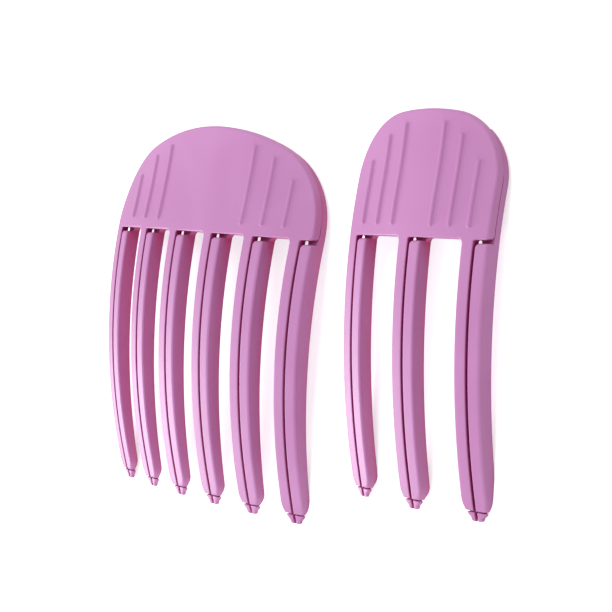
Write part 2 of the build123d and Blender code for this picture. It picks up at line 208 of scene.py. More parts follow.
@dataclass(frozen=True)
class ClipForm:
    """Shape of one clip, in millimetres and degrees.

    Across and along it are X and Y, and its front's crest is the origin. Places along it are lengths on the front.
    """

    name: str
    tines: int
    pitch: float
    thickness: float
    cross_radius: float
    tine_radius: float
    edge: float
    brow_radius: float
    brow_length: float
    lip_radius: float
    head_height: float
    side_height: float
    corner_radius: float
    tine_length: float
    nub_length: float
    shoulder_gap: float
    fan: float
    rib_outer: float
    rib_spacing: float
    rib_foot: float
    rib_shares: tuple[float, ...]
    tilt: float
    turn: float
    half_tine: float = 3.2
    split: float = 0.68
    parting: float = 0.16
    window_round: float = 1.0
    shoulder_round: float = 0.9
    inner_round: float = 0.42
    rear_inset: float = 0.7
    depth_shares: tuple[float, float, float] = (0.96, 0.64, 0.4)
    heel: float = 2.6
    tip_curve: float = 2.8
    tip_inset: float = 0.9
    rib_width: float = 1.1
    rib_height: float = 0.5

    @property
    def half_width(self) -> float:
        """Half of the head's width."""
        return (self.tines - 1) / 2 * self.pitch + self.half_tine

    @property
    def bend(self) -> float:
        """Place where the head turns from bulging to flaring."""
        return self.edge + self.brow_length

    @property
    def top(self) -> float:
        """Place of the head's top edge."""
        return self.edge + self.head_height

    @property
    def step(self) -> float:
        """Place where the tines step down to their nubs."""
        return self.edge - self.tine_length

    @property
    def edge_y(self) -> float:
        """Y of the head's lower edge."""
        return self.at(self.edge, 0.0)[0]

    @property
    def near_half(self) -> float:
        """Depth of the front comb's plate."""
        return (self.thickness - self.parting) / 2

    @property
    def far_half(self) -> float:
        """Depth where the rear comb's plate starts."""
        return (self.thickness + self.parting) / 2

    def centres(self) -> list[float]:
        """X of every tine's split line at the head's edge."""
        return [(i - (self.tines - 1) / 2) * self.pitch for i in range(self.tines)]

    def slope(self, place: float) -> float:
        """Angle of the front's tangent to Y at a place along the profile.

        Args:
            place: Length along the front from the crest.

        Returns:
            Angle in radians.
        """
        if place <= self.edge:
            return place / self.tine_radius
        brow = self.edge / self.tine_radius + (min(place, self.bend) - self.edge) / self.brow_radius
        return brow - max(place - self.bend, 0.0) / self.lip_radius

    def centre_of_brow(self) -> Point:
        """Centre of the brow's arc in the middle section.

        Returns:
            Its Y and Z in millimetres.
        """
        low = self.slope(self.edge)
        gap = self.tine_radius - self.brow_radius
        return gap * sin(low), gap * cos(low) - self.tine_radius

    def centre_of_lip(self) -> Point:
        """Centre of the lip's arc in the middle section.

        Returns:
            Its Y and Z in millimetres.
        """
        y, z = self.centre_of_brow()
        high, reach = self.slope(self.bend), self.brow_radius + self.lip_radius
        return y + reach * sin(high), z + reach * cos(high)

    def at(self, place: float, depth: float) -> Point:
        """(Y, Z) in the middle section, by length along the front and depth below it.

        Args:
            place: Length along the front from the crest.
            depth: Distance behind the front.

        Returns:
            The point in millimetres.
        """
        turn = self.slope(place)
        if place <= self.edge:
            centre, reach = (0.0, -self.tine_radius), self.tine_radius - depth
        elif place <= self.bend:
            centre, reach = self.centre_of_brow(), self.brow_radius - depth
        else:
            centre, reach = self.centre_of_lip(), -self.lip_radius - depth
        return centre[0] + reach * sin(turn), centre[1] + reach * cos(turn)

    def sheet(self, y: float, depth: float) -> float:
        """Height of the middle section's line at a depth behind the front.

        Args:
            y: Distance along the clip.
            depth: Distance behind the front.

        Returns:
            Height in millimetres.
        """
        if y <= self.at(self.edge, depth)[0]:
            return Arc(0.0, -self.tine_radius, self.tine_radius - depth, True).height(y)
        if y <= self.at(self.bend, depth)[0]:
            return Arc(*self.centre_of_brow(), self.brow_radius - depth, True).height(y)
        return Arc(*self.centre_of_lip(), self.lip_radius + depth, False).height(y)

    def heel_point(self) -> Point:
        """Point of the rear where a tine's long taper ends and its tip rounds off."""
        return self.at(self.step + self.heel, self.depth_shares[1] * self.thickness)

    def taper(self) -> Arc:
        """Arc of a tine's rear from the head to the heel of its tip.

        Returns:
            The circle through both ends and the depth midway.
        """
        middle = (self.edge + self.step + self.heel) / 2
        a = Vector(self.at(self.edge, self.thickness))
        b = Vector(self.at(middle, self.depth_shares[0] * self.thickness))
        c = Vector(self.heel_point())
        cross = 2 * ((b - a).x * (c - a).y - (b - a).y * (c - a).x)
        ab, ac = (b - a).length_squared, (c - a).length_squared
        x = ((c - a).y * ab - (b - a).y * ac) / cross
        y = ((b - a).x * ac - (c - a).x * ab) / cross
        return Arc(a.x + x, a.y + y, sqrt(x * x + y * y), y < 0)

    def round_off(self) -> Arc:
        """Arc of a tine's rear from its heel to the step, tangent to the taper.

        Returns:
            The circle that leaves the taper at the heel.
        """
        taper, start = self.taper(), Vector(self.heel_point())
        end = Vector(self.at(self.step, self.depth_shares[2] * self.thickness))
        out = (start - Vector((taper.y, taper.z))).normalized()
        span = end - start
        radius = span.length_squared / (2 * span.dot(out))
        centre = start + out * radius
        return Arc(centre.x, centre.y, abs(radius), centre.y < start.y)

    def back(self, y: float) -> float:
        """Height of the rear in the middle section.

        Args:
            y: Distance along the clip.

        Returns:
            Height in millimetres.
        """
        if y >= self.at(self.edge, self.thickness)[0]:
            return self.sheet(y, self.thickness)
        if y >= self.heel_point()[0]:
            return self.taper().height(y)
        stop = self.at(self.step, self.depth_shares[2] * self.thickness)[0]
        return self.round_off().height(max(y, stop))

    def wrap(self, flat: Vector) -> Vector:
        """Carries a point of the flat layout onto the curved clip.

        Args:
            flat: X, Y and minus the nominal depth behind the front.

        Returns:
            The point in the clip's own frame.
        """
        share = -flat.z / self.thickness
        front = self.sheet(flat.y, 0.0)
        middle = front + (self.back(flat.y) - front) * share
        drop = sqrt((self.cross_radius + middle) ** 2 - flat.x**2) - self.cross_radius
        return Vector((flat.x, flat.y, drop))

    def unwrap(self, solid: Vector) -> Vector:
        """The flat layout's point for a point of the curved clip.

        Args:
            solid: Point in the clip's own frame.

        Returns:
            X, Y and minus the nominal depth behind the front.
        """
        middle = sqrt((solid.z + self.cross_radius) ** 2 + solid.x**2) - self.cross_radius
        front = self.sheet(solid.y, 0.0)
        share = (middle - front) / (self.back(solid.y) - front)
        return Vector((solid.x, solid.y, -share * self.thickness))

    def lean(self, x: float, across: float, along: float) -> Point:
        """Plan point of a left half-tine, by distance from its split line and Y above the head's edge."""
        shift = radians(self.fan) * x / self.pitch * along
        return x - across + shift, self.edge_y + along

    def head_arcs(self, inset: float, steps: int = 20) -> list[Point]:
        """Head's outline from the right end of its edge over the top to the left end.

        Args:
            inset: Distance by which the arcs sit lower than the front comb's.
            steps: Steps on each arc.

        Returns:
            Plan points in millimetres.
        """
        half, radius = self.half_width, self.corner_radius
        spring_line = self.edge_y + self.side_height - inset
        rise = self.at(self.top, 0.0)[0] - inset - spring_line
        top_radius = ((half - radius) ** 2 + rise**2 - radius**2) / (2 * (rise - radius))
        middle, low = half - radius, spring_line + rise - top_radius
        meet = atan2(spring_line - low, middle)
        right = [
            (middle + radius * cos(turn), spring_line + radius * sin(turn))
            for turn in spaced(0.0, meet, steps)
        ]
        right += [
            (top_radius * cos(turn), low + top_radius * sin(turn))
            for turn in spaced(meet, pi / 2, steps)[1:]
        ]
        return right + [(-x, y) for x, y in reversed(right[:-1])]

    def place_matrix(self, joint: Vector, hinge: Vector) -> Matrix:
        """Matrix from the clip's own frame in millimetres to the row frame in metres.

        Args:
            joint: Hinge joint's place in the row frame.
            hinge: The same place in the clip's own frame.

        Returns:
            The placing matrix.
        """
        turn = Matrix.Rotation(radians(self.turn), 4, "Z") @ Matrix.Rotation(radians(-self.tilt), 4, "X")
        scale = Matrix.Scale(MM, 4)
        return Matrix.Translation(joint) @ turn @ scale @ Matrix.Translation(-hinge)


def spaced(start: float, end: float, count: int) -> list[float]:
    """Values from start to end in equal steps."""
    return [start + (end - start) * i / count for i in range(count + 1)]


def quarter(count: int) -> list[float]:
    """Angles from zero to a right angle in equal steps."""
    return spaced(0.0, pi / 2, count)


def rounding(size: float, count: int) -> list[Point]:
    """How far the points of a rounded corner stand off its first and second side."""
    return [(size * (1 - cos(turn)), size * (1 - sin(turn))) for turn in quarter(count)]


def inward(points: Sequence[RimPoint], least: float = 0.35) -> list[Vector]:
    """Mitred inward normals of an outline that runs counter-clockwise.

    Args:
        points: Outline.
        least: Divisor that stops the mitre at sharp corners.

    Returns:
        A normal for every point.
    """
    normals = []
    for i, point in enumerate(points):
        before, after = points[i - 1], points[(i + 1) % len(points)]
        sides = []
        for start, end in ((before, point), (point, after)):
            way = Vector((end.x - start.x, end.y - start.y)).normalized()
            sides.append(Vector((-way.y, way.x)))
        total = sides[0] + sides[1]
        normals.append(total / max(1 + sides[0].dot(sides[1]), least))
    return normals


def moulded_bar(points: Sequence[RimPoint], near: float, far: float, steps: int = 4) -> Solid:
    """Closed flat solid with an outline and rounded rims.

    Args:
        points: Outline, counter-clockwise, with its rims' roundings.
        near: Depth of the front face.
        far: Depth of the rear face.
        steps: Faces across each rounding.

    Returns:
        The solid in the flat layout.
    """
    bm = bmesh.new()
    normals, corner = inward(points), rounding(1.0, steps)
    rows = [(near, 1, [p.near for p in points], off) for off in reversed(corner)]
    rows += [(far, -1, [p.far for p in points], off) for off in corner]
    rings = [
        [
            bm.verts.new((p.x + n.x * rim * back, p.y + n.y * rim * back, -(level + way * rim * down)))
            for p, n, rim in zip(points, normals, rims)
        ]
        for level, way, rims, (back, down) in rows
    ]
    for upper, lower in zip(rings, rings[1:]):
        for i in range(len(points)):
            j = (i + 1) % len(points)
            bm.faces.new((upper[i], lower[i], lower[j], upper[j]))
    bm.faces.new(rings[0])
    bm.faces.new(list(reversed(rings[-1])))
    bmesh.ops.remove_doubles(bm, verts=bm.verts, dist=SAME_POINT)
    bmesh.ops.recalc_face_normals(bm, faces=bm.faces)
    return bm


def lathe_bar(rings: Sequence[Ring]) -> Solid:
    """Closed solid through a row of rings with capped ends.

    Args:
        rings: Rings of points, all with the same count.

    Returns:
        The solid.
    """
    bm = bmesh.new()
    rows = [[bm.verts.new(point) for point in ring] for ring in rings]
    for first, second in zip(rows, rows[1:]):
        for i in range(len(first)):
            j = (i + 1) % len(first)
            bm.faces.new((first[i], first[j], second[j], second[i]))
    bm.faces.new(list(reversed(rows[0])))
    bm.faces.new(rows[-1])
    bmesh.ops.recalc_face_normals(bm, faces=bm.faces)
    return bm


def to_object(bm: Solid, name: str) -> bpy.types.Object:
    """Puts a solid into the scene as an object and frees it.

    Args:
        bm: Solid to use up.
        name: Name of the object and its mesh.

    Returns:
        The object.
    """
    mesh = bpy.data.meshes.new(name)
    bm.to_mesh(mesh)
    bm.free()
    obj = bpy.data.objects.new(name, mesh)
    bpy.context.scene.collection.objects.link(obj)
    return obj


def gathered(solids: Iterable[Solid]) -> Solid:
    """All the solids in one mesh.

    Args:
        solids: Solids to use up.

    Returns:
        The mesh that holds them.
    """
    whole = bmesh.new()
    for bm in solids:
        mesh = bpy.data.meshes.new("part")
        bm.to_mesh(mesh)
        bm.free()
        whole.from_mesh(mesh)
        bpy.data.meshes.remove(mesh)
    return whole


def combined(body: Solid, tools: Iterable[Solid], how: Blend) -> Solid:
    """Joins tools to a solid or cuts them out of it, exactly.

    Args:
        body: Solid to change.
        tools: Solids that don't touch each other.
        how: Join or cut.

    Returns:
        The changed solid.
    """
    target, tool = to_object(body, "target"), to_object(gathered(tools), "tool")
    change = target.modifiers.new("change", "BOOLEAN")
    change.operation, change.solver, change.object = how.value, "EXACT", tool
    bpy.context.view_layer.update()
    result = bpy.data.meshes.new_from_object(target.evaluated_get(bpy.context.evaluated_depsgraph_get()))
    out = bmesh.new()
    out.from_mesh(result)
    bpy.data.meshes.remove(result)
    for obj in (target, tool):
        mesh = obj.data
        bpy.data.objects.remove(obj)
        bpy.data.meshes.remove(mesh)
    return out


def worked(body: Solid, steps: Iterable[tuple[Blend, list[Solid]]]) -> Solid:
    """Joins and cuts a solid in order.

    Args:
        body: Solid to change.
        steps: How each set of tools is put to it.

    Returns:
        The changed solid.
    """
    for how, tools in steps:
        body = combined(body, tools, how)
    return body


def gridded(bm: Solid, across: float, along: float, offset: float = 0.437) -> Solid:
    """Cuts a flat solid's faces by a grid, so that it can take the clip's curves.

    Args:
        bm: Solid in the flat layout.
        across: Grid spacing in X.
        along: Grid spacing in Y.
        offset: Share of a spacing that keeps the grid off the shape's own lines.

    Returns:
        The same solid with smaller faces.
    """
    for axis, spacing in ((0, across), (1, along)):
        values = [vert.co[axis] for vert in bm.verts]
        low, high = min(values), max(values)
        normal = Vector((1.0, 0.0, 0.0)) if axis == 0 else Vector((0.0, 1.0, 0.0))
        for i in range(int(low // spacing), int(high // spacing) + 1):
            cut = (i + offset) * spacing
            if low < cut < high:
                geometry = [*bm.verts, *bm.edges, *bm.faces]
                bmesh.ops.bisect_plane(bm, geom=geometry, plane_co=normal * cut, plane_no=normal, dist=WELD)
    return bm


@dataclass
class Drawing:
    """Node tree being drawn, with short calls for its usual nodes."""

    tree: bpy.types.NodeTree

    def feed(self, node: bpy.types.Node, inputs: dict[str | int, Given]) -> None:
        """Gives a node's inputs plain values or links sockets to them.

        Args:
            node: Node to feed.
            inputs: Values by the names or numbers of its inputs.
        """
        for key, given in inputs.items():
            if isinstance(given, Socket):
                self.tree.links.new(given, node.inputs[key])
            else:
                node.inputs[key].default_value = given

    def node(self, kind: str, inputs: dict[str | int, Given] | None = None, **settings: object) -> bpy.types.Node:
        """Adds a node.

        Args:
            kind: Type name of the node.
            inputs: Values by the names or numbers of its inputs.
            settings: Values of its properties.

        Returns:
            The node.
        """
        node = self.tree.nodes.new(kind)
        for name, value in settings.items():
            setattr(node, name, value)
        self.feed(node, inputs or {})
        return node

    def value(self, how: str, *inputs: Socket | float) -> Socket:
        """Result of a math node on sockets or plain numbers."""
        return self.node("ShaderNodeMath", dict(enumerate(inputs)), operation=how).outputs[0]

    def spread(self, given: Socket, low: float, high: float, to_low: float, to_high: float) -> Socket:
        """Value carried smoothly from the range of low and high to that of to_low and to_high."""
        inputs = {"Value": given, "From Min": low, "From Max": high, "To Min": to_low, "To Max": to_high}
        return self.node("ShaderNodeMapRange", inputs, interpolation_type="SMOOTHSTEP").outputs["Result"]

    def mixed(self, share: Socket, first: Socket | Colour, second: Socket | Colour) -> Socket:
        """Mix of two colours by the share of the second."""
        return self.node("ShaderNodeMix", {0: share, 6: first, 7: second}, data_type="RGBA").outputs[2]

    def bump(self, height: Socket, strength: float, distance: float) -> Socket:
        """Normal bent by a height; the distance is the length in metres of a height of one."""
        inputs = {"Height": height, "Strength": strength, "Distance": distance}
        return self.node("ShaderNodeBump", inputs).outputs["Normal"]

    def group(self, tree: bpy.types.NodeTree, **given: Given) -> bpy.types.Node:
        """Places a node group, with values for its inputs by their names in small letters."""
        inputs = {name.capitalize(): value for name, value in given.items()}
        return self.node("ShaderNodeGroup", inputs, node_tree=tree)


@dataclass(frozen=True)
class Effects:
    """Surface effects that more than one finish uses, each a node group built once."""

    grain_detail: float = 4.0
    cell_scale: float = 1.7
    pit_edge: Point = (0.1, 0.75)
    drift_detail: float = 1.5
    drift_distortion: float = 0.6
    drift_edge: Point = (0.3, 0.7)
    gap_samples: int = 8

    def started(
        self, name: str, inputs: dict[str, float | tuple[float, ...]], outputs: dict[str, str]
    ) -> tuple[Drawing, bpy.types.Node, bpy.types.Node]:
        """Starts a node group with its sockets.

        Args:
            name: Name of the group.
            inputs: Default of every input; four numbers make a colour and three a vector.
            outputs: Kind of every output socket.

        Returns:
            The drawing with the group's input and output nodes.
        """
        tree = bpy.data.node_groups.new(name, "ShaderNodeTree")
        for label, default in inputs.items():
            kind = "NodeSocketFloat"
            if isinstance(default, tuple):
                kind = "NodeSocketColor" if len(default) == 4 else "NodeSocketVector"
            socket = tree.interface.new_socket(name=label, in_out="INPUT", socket_type=kind)
            socket.default_value = default
        for label, kind in outputs.items():
            tree.interface.new_socket(name=label, in_out="OUTPUT", socket_type=kind)
        drawing = Drawing(tree)
        return drawing, drawing.node("NodeGroupInput"), drawing.node("NodeGroupOutput")

    def eroded_grain(self) -> bpy.types.NodeTree:
        """Fine pitted grain: its height, and a mask of its pits.

        Returns:
            The node group.
        """
        found = bpy.data.node_groups.get("eroded_grain")
        if found:
            return found
        drawing, given, out = self.started(
            "eroded_grain", {"Stretch": (1.0, 1.0, 1.0), "Scale": 2200.0, "Pits": 0.4},
            {"Height": "NodeSocketFloat", "Pitted": "NodeSocketFloat"},
        )
        scale = given.outputs["Scale"]
        place = {0: drawing.node("ShaderNodeTexCoord").outputs["Object"], 1: given.outputs["Stretch"]}
        drawn = drawing.node("ShaderNodeVectorMath", place, operation="MULTIPLY").outputs[0]
        grain = drawing.node("ShaderNodeTexNoise", {"Vector": drawn, "Scale": scale, "Detail": self.grain_detail})
        finer = {"Vector": drawn, "Scale": drawing.value("MULTIPLY", scale, self.cell_scale)}
        cells = drawing.node("ShaderNodeTexVoronoi", finer, feature="SMOOTH_F1")
        pits = drawing.spread(cells.outputs["Distance"], *self.pit_edge, 1.0, 0.0)
        deep = drawing.value("MULTIPLY", pits, given.outputs["Pits"])
        drawing.feed(out, {"Height": drawing.value("SUBTRACT", grain.outputs[0], deep), "Pitted": pits})
        return drawing.tree

    def tone_drift(self) -> bpy.types.NodeTree:
        """Slow drift between two tones, as from flow in a mould or handling.

        Returns:
            The node group.
        """
        found = bpy.data.node_groups.get("tone_drift")
        if found:
            return found
        drawing, given, out = self.started(
            "tone_drift", {"Tone": (0.5, 0.5, 0.5, 1.0), "Other": (0.4, 0.4, 0.4, 1.0), "Scale": 60.0, "Amount": 0.4},
            {"Color": "NodeSocketColor", "Drift": "NodeSocketFloat"},
        )
        place = drawing.node("ShaderNodeTexCoord").outputs["Object"]
        slow = drawing.node("ShaderNodeTexNoise", {
            "Vector": place, "Scale": given.outputs["Scale"],
            "Detail": self.drift_detail, "Distortion": self.drift_distortion,
        })
        drift = drawing.spread(slow.outputs[0], *self.drift_edge, 0.0, 1.0)
        share = drawing.value("MULTIPLY", drift, given.outputs["Amount"])
        tone = drawing.mixed(share, given.outputs["Tone"], given.outputs["Other"])
        drawing.feed(out, {"Color": tone, "Drift": drift})
        return drawing.tree

    def recess(self) -> bpy.types.NodeTree:
        """Mask of gaps and grooves where walls stand close to each other, from ambient occlusion, for painting shade
        there.

        Returns:
            The node group.
        """
        found = bpy.data.node_groups.get("recess")
        if found:
            return found
        drawing, given, out = self.started(
            "recess", {"Reach": 0.006, "Open": 0.9, "Shut": 0.2}, {"Shut in": "NodeSocketFloat"},
        )
        reach = {"Distance": given.outputs["Reach"]}
        around = drawing.node("ShaderNodeAmbientOcclusion", reach, samples=self.gap_samples)
        share = drawing.value("SUBTRACT", given.outputs["Open"], around.outputs["AO"])
        room = drawing.value("SUBTRACT", given.outputs["Open"], given.outputs["Shut"])
        drawing.feed(out, {"Shut in": drawing.spread(drawing.value("DIVIDE", share, room), 0.0, 1.0, 0.0, 1.0)})
        return drawing.tree

    def steepness(self) -> bpy.types.NodeTree:
        """Mask of the walls that stand between the front and the back.

        Returns:
            The node group.
        """
        found = bpy.data.node_groups.get("steepness")
        if found:
            return found
        drawing, given, out = self.started(
            "steepness", {"Flat": 0.82, "Steep": 0.3}, {"Wall": "NodeSocketFloat"},
        )
        normal = drawing.node("ShaderNodeTexCoord").outputs["Normal"]
        facing = drawing.value("ABSOLUTE", drawing.node("ShaderNodeSeparateXYZ", {0: normal}).outputs["Z"])
        above = drawing.value("SUBTRACT", facing, given.outputs["Steep"])
        room = drawing.value("SUBTRACT", given.outputs["Flat"], given.outputs["Steep"])
        drawing.feed(out, {"Wall": drawing.spread(drawing.value("DIVIDE", above, room), 0.0, 1.0, 1.0, 0.0)})
        return drawing.tree


def new_material(name: str) -> tuple[bpy.types.Material, Drawing, bpy.types.Node]:
    """A new material.

    Args:
        name: Name of the material.

    Returns:
        The material, its drawing and its shader.
    """
    material = bpy.data.materials.new(name)
    material.use_nodes = True
    return material, Drawing(material.node_tree), material.node_tree.nodes["Principled BSDF"]


@dataclass(frozen=True)
class GapMask:
    """How far a gap's walls are looked for, and how shut in it is where the mask starts and is full."""

    reach: float
    open: float
    shut: float


@dataclass(frozen=True)
class Finish(ABC):
    """A finish that pieces wear. Its material is made for the first of them."""

    name: str

    @abstractmethod
    def draw(self, drawing: Drawing, shader: bpy.types.Node) -> None:
        """Draws the finish's nodes round the shader."""

    def dress(self, obj: bpy.types.Object) -> None:
        """Puts the finish on a piece.

        Args:
            obj: The piece.
        """
        material = bpy.data.materials.get(self.name)
        if material is None:
            material, drawing, shader = new_material(self.name)
            self.draw(drawing, shader)
        obj.data.materials.clear()
        obj.data.materials.append(material)


@dataclass(frozen=True)
class MouldedPlastic(Finish):
    """Matte orchid compound: eroded outer faces and smoother walls, with painted shade that deepens the walls, most of
    all between the tines, and darkens the grooves.
    """

    name: str = "orchid_compound"
    face: Colour = (0.62, 0.26, 0.56, 1.0)
    face_drift: Colour = (0.56, 0.215, 0.49, 1.0)
    drift_scale: float = 38.0
    drift_amount: float = 0.7
    # Painted shade: deep magenta put on the walls, a little on every wall and fully where neighbouring tines shut a
    # wall in.
    wall: Colour = (0.62, 0.06, 0.21, 1.0)
    wall_edge: Point = (0.8, 0.3)
    wall_share: float = 0.1
    near_gaps: GapMask = GapMask(0.03, 0.49, 0.3)
    # Painted shade: near-black magenta put in the split lines, shoulder gaps and other narrow grooves.
    groove: Colour = (0.38, 0.002, 0.15, 1.0)
    in_grooves: GapMask = GapMask(0.0028, 0.6, 0.28)
    refraction: float = 1.49
    roughness: float = 0.42
    pit_roughness: float = 0.08
    wall_roughness: float = -0.08
    coat: float = 0.08
    coat_roughness: float = 0.5
    grain_scale: float = 2600.0
    pits: float = 0.5
    bump: float = 0.5
    grain_depth: float = 0.00004
    effects: Effects = Effects()

    def gap_share(self, drawing: Drawing, mask: GapMask) -> Socket:
        """How far a place is shut in between walls."""
        return drawing.group(self.effects.recess(), **asdict(mask)).outputs["Shut in"]

    def draw(self, drawing: Drawing, shader: bpy.types.Node) -> None:
        """Draws the compound's nodes.

        Args:
            drawing: Drawing of the material.
            shader: Its shader.
        """
        drift = drawing.group(
            self.effects.tone_drift(), tone=self.face, other=self.face_drift,
            scale=self.drift_scale, amount=self.drift_amount,
        )
        flat, steep = self.wall_edge
        wall = drawing.group(self.effects.steepness(), flat=flat, steep=steep).outputs["Wall"]
        grain = drawing.group(self.effects.eroded_grain(), scale=self.grain_scale, pits=self.pits)
        # Masks for painted shade: walls shut in between the tines, and narrow grooves.
        near_gaps = self.gap_share(drawing, self.near_gaps)
        in_grooves = self.gap_share(drawing, self.in_grooves)
        # Painted shade: the walls' tone deepened a little everywhere and fully in the gaps between the tines.
        share = drawing.value("MULTIPLY", wall, self.wall_share)
        tone = drawing.mixed(share, drift.outputs["Color"], self.wall)
        tone = drawing.mixed(drawing.value("MULTIPLY", wall, near_gaps), tone, self.wall)
        matte = drawing.value("MULTIPLY_ADD", grain.outputs["Pitted"], self.pit_roughness, self.roughness)
        drawing.feed(shader, {
            # Painted shade in the grooves, over the tone of faces and walls.
            "Base Color": drawing.mixed(in_grooves, tone, self.groove),
            "IOR": self.refraction,
            "Roughness": drawing.value("MULTIPLY_ADD", wall, self.wall_roughness, matte),
            "Coat Weight": self.coat,
            "Coat Roughness": self.coat_roughness,
            "Normal": drawing.bump(grain.outputs["Height"], self.bump, self.grain_depth),
        })


@dataclass(frozen=True)
class DrawnSteel(Finish):
    """Drawn steel with fine lines along it and a faint drift of tone."""

    bright: Colour
    dull: Colour
    roughness: float
    along: tuple[float, float, float]
    drift_scale: float = 260.0
    drift_amount: float = 0.8
    drift_roughness: float = 0.08
    line_scale: float = 5200.0
    line_pits: float = 0.15
    line_roughness: float = 0.2
    bump: float = 0.4
    line_depth: float = 0.00001
    effects: Effects = Effects()

    def draw(self, drawing: Drawing, shader: bpy.types.Node) -> None:
        """Draws the steel's nodes.

        Args:
            drawing: Drawing of the material.
            shader: Its shader.
        """
        drift = drawing.group(
            self.effects.tone_drift(), tone=self.bright, other=self.dull,
            scale=self.drift_scale, amount=self.drift_amount,
        )
        lines = drawing.group(
            self.effects.eroded_grain(), stretch=self.along, scale=self.line_scale, pits=self.line_pits
        )
        rough = drawing.value("MULTIPLY_ADD", lines.outputs["Height"], self.line_roughness, self.roughness)
        drawing.feed(shader, {
            "Base Color": drift.outputs["Color"],
            "Metallic": 1.0,
            "Roughness": drawing.value("MULTIPLY_ADD", drift.outputs["Drift"], self.drift_roughness, rough),
            "Normal": drawing.bump(lines.outputs["Height"], self.bump, self.line_depth),
        })


@dataclass(frozen=True)
class HingeFrame:
    """Axes of the hinge in the clip's own frame: across, up the head and out of the front."""

    origin: Vector
    up: Vector
    out: Vector

    @classmethod
    def of(cls, form: ClipForm, hinge: Hinge) -> "HingeFrame":
        """The hinge's frame on a clip.

        Args:
            form: The clip's shape.
            hinge: Sizes of its hinge.

        Returns:
            The frame.
        """
        place = form.top - hinge.below_top
        turn = form.slope(place)
        y, z = form.at(place, hinge.depth_share * form.thickness)
        return cls(Vector((0.0, y, z)), Vector((0.0, cos(turn), -sin(turn))), Vector((0.0, sin(turn), cos(turn))))

    def point(self, x: float, up: float, out: float) -> Vector:
        """Point of the clip's own frame from distances along the hinge's axes."""
        return self.origin + Vector((x, 0.0, 0.0)) + self.up * up + self.out * out

    def ring(self, x: float, radius: float, sides: int) -> Ring:
        """Points on a circle round the hinge's axis, in the clip's own frame."""
        turns = [2 * pi * k / sides for k in range(sides)]
        return [self.point(x, radius * cos(turn), radius * sin(turn)) for turn in turns]


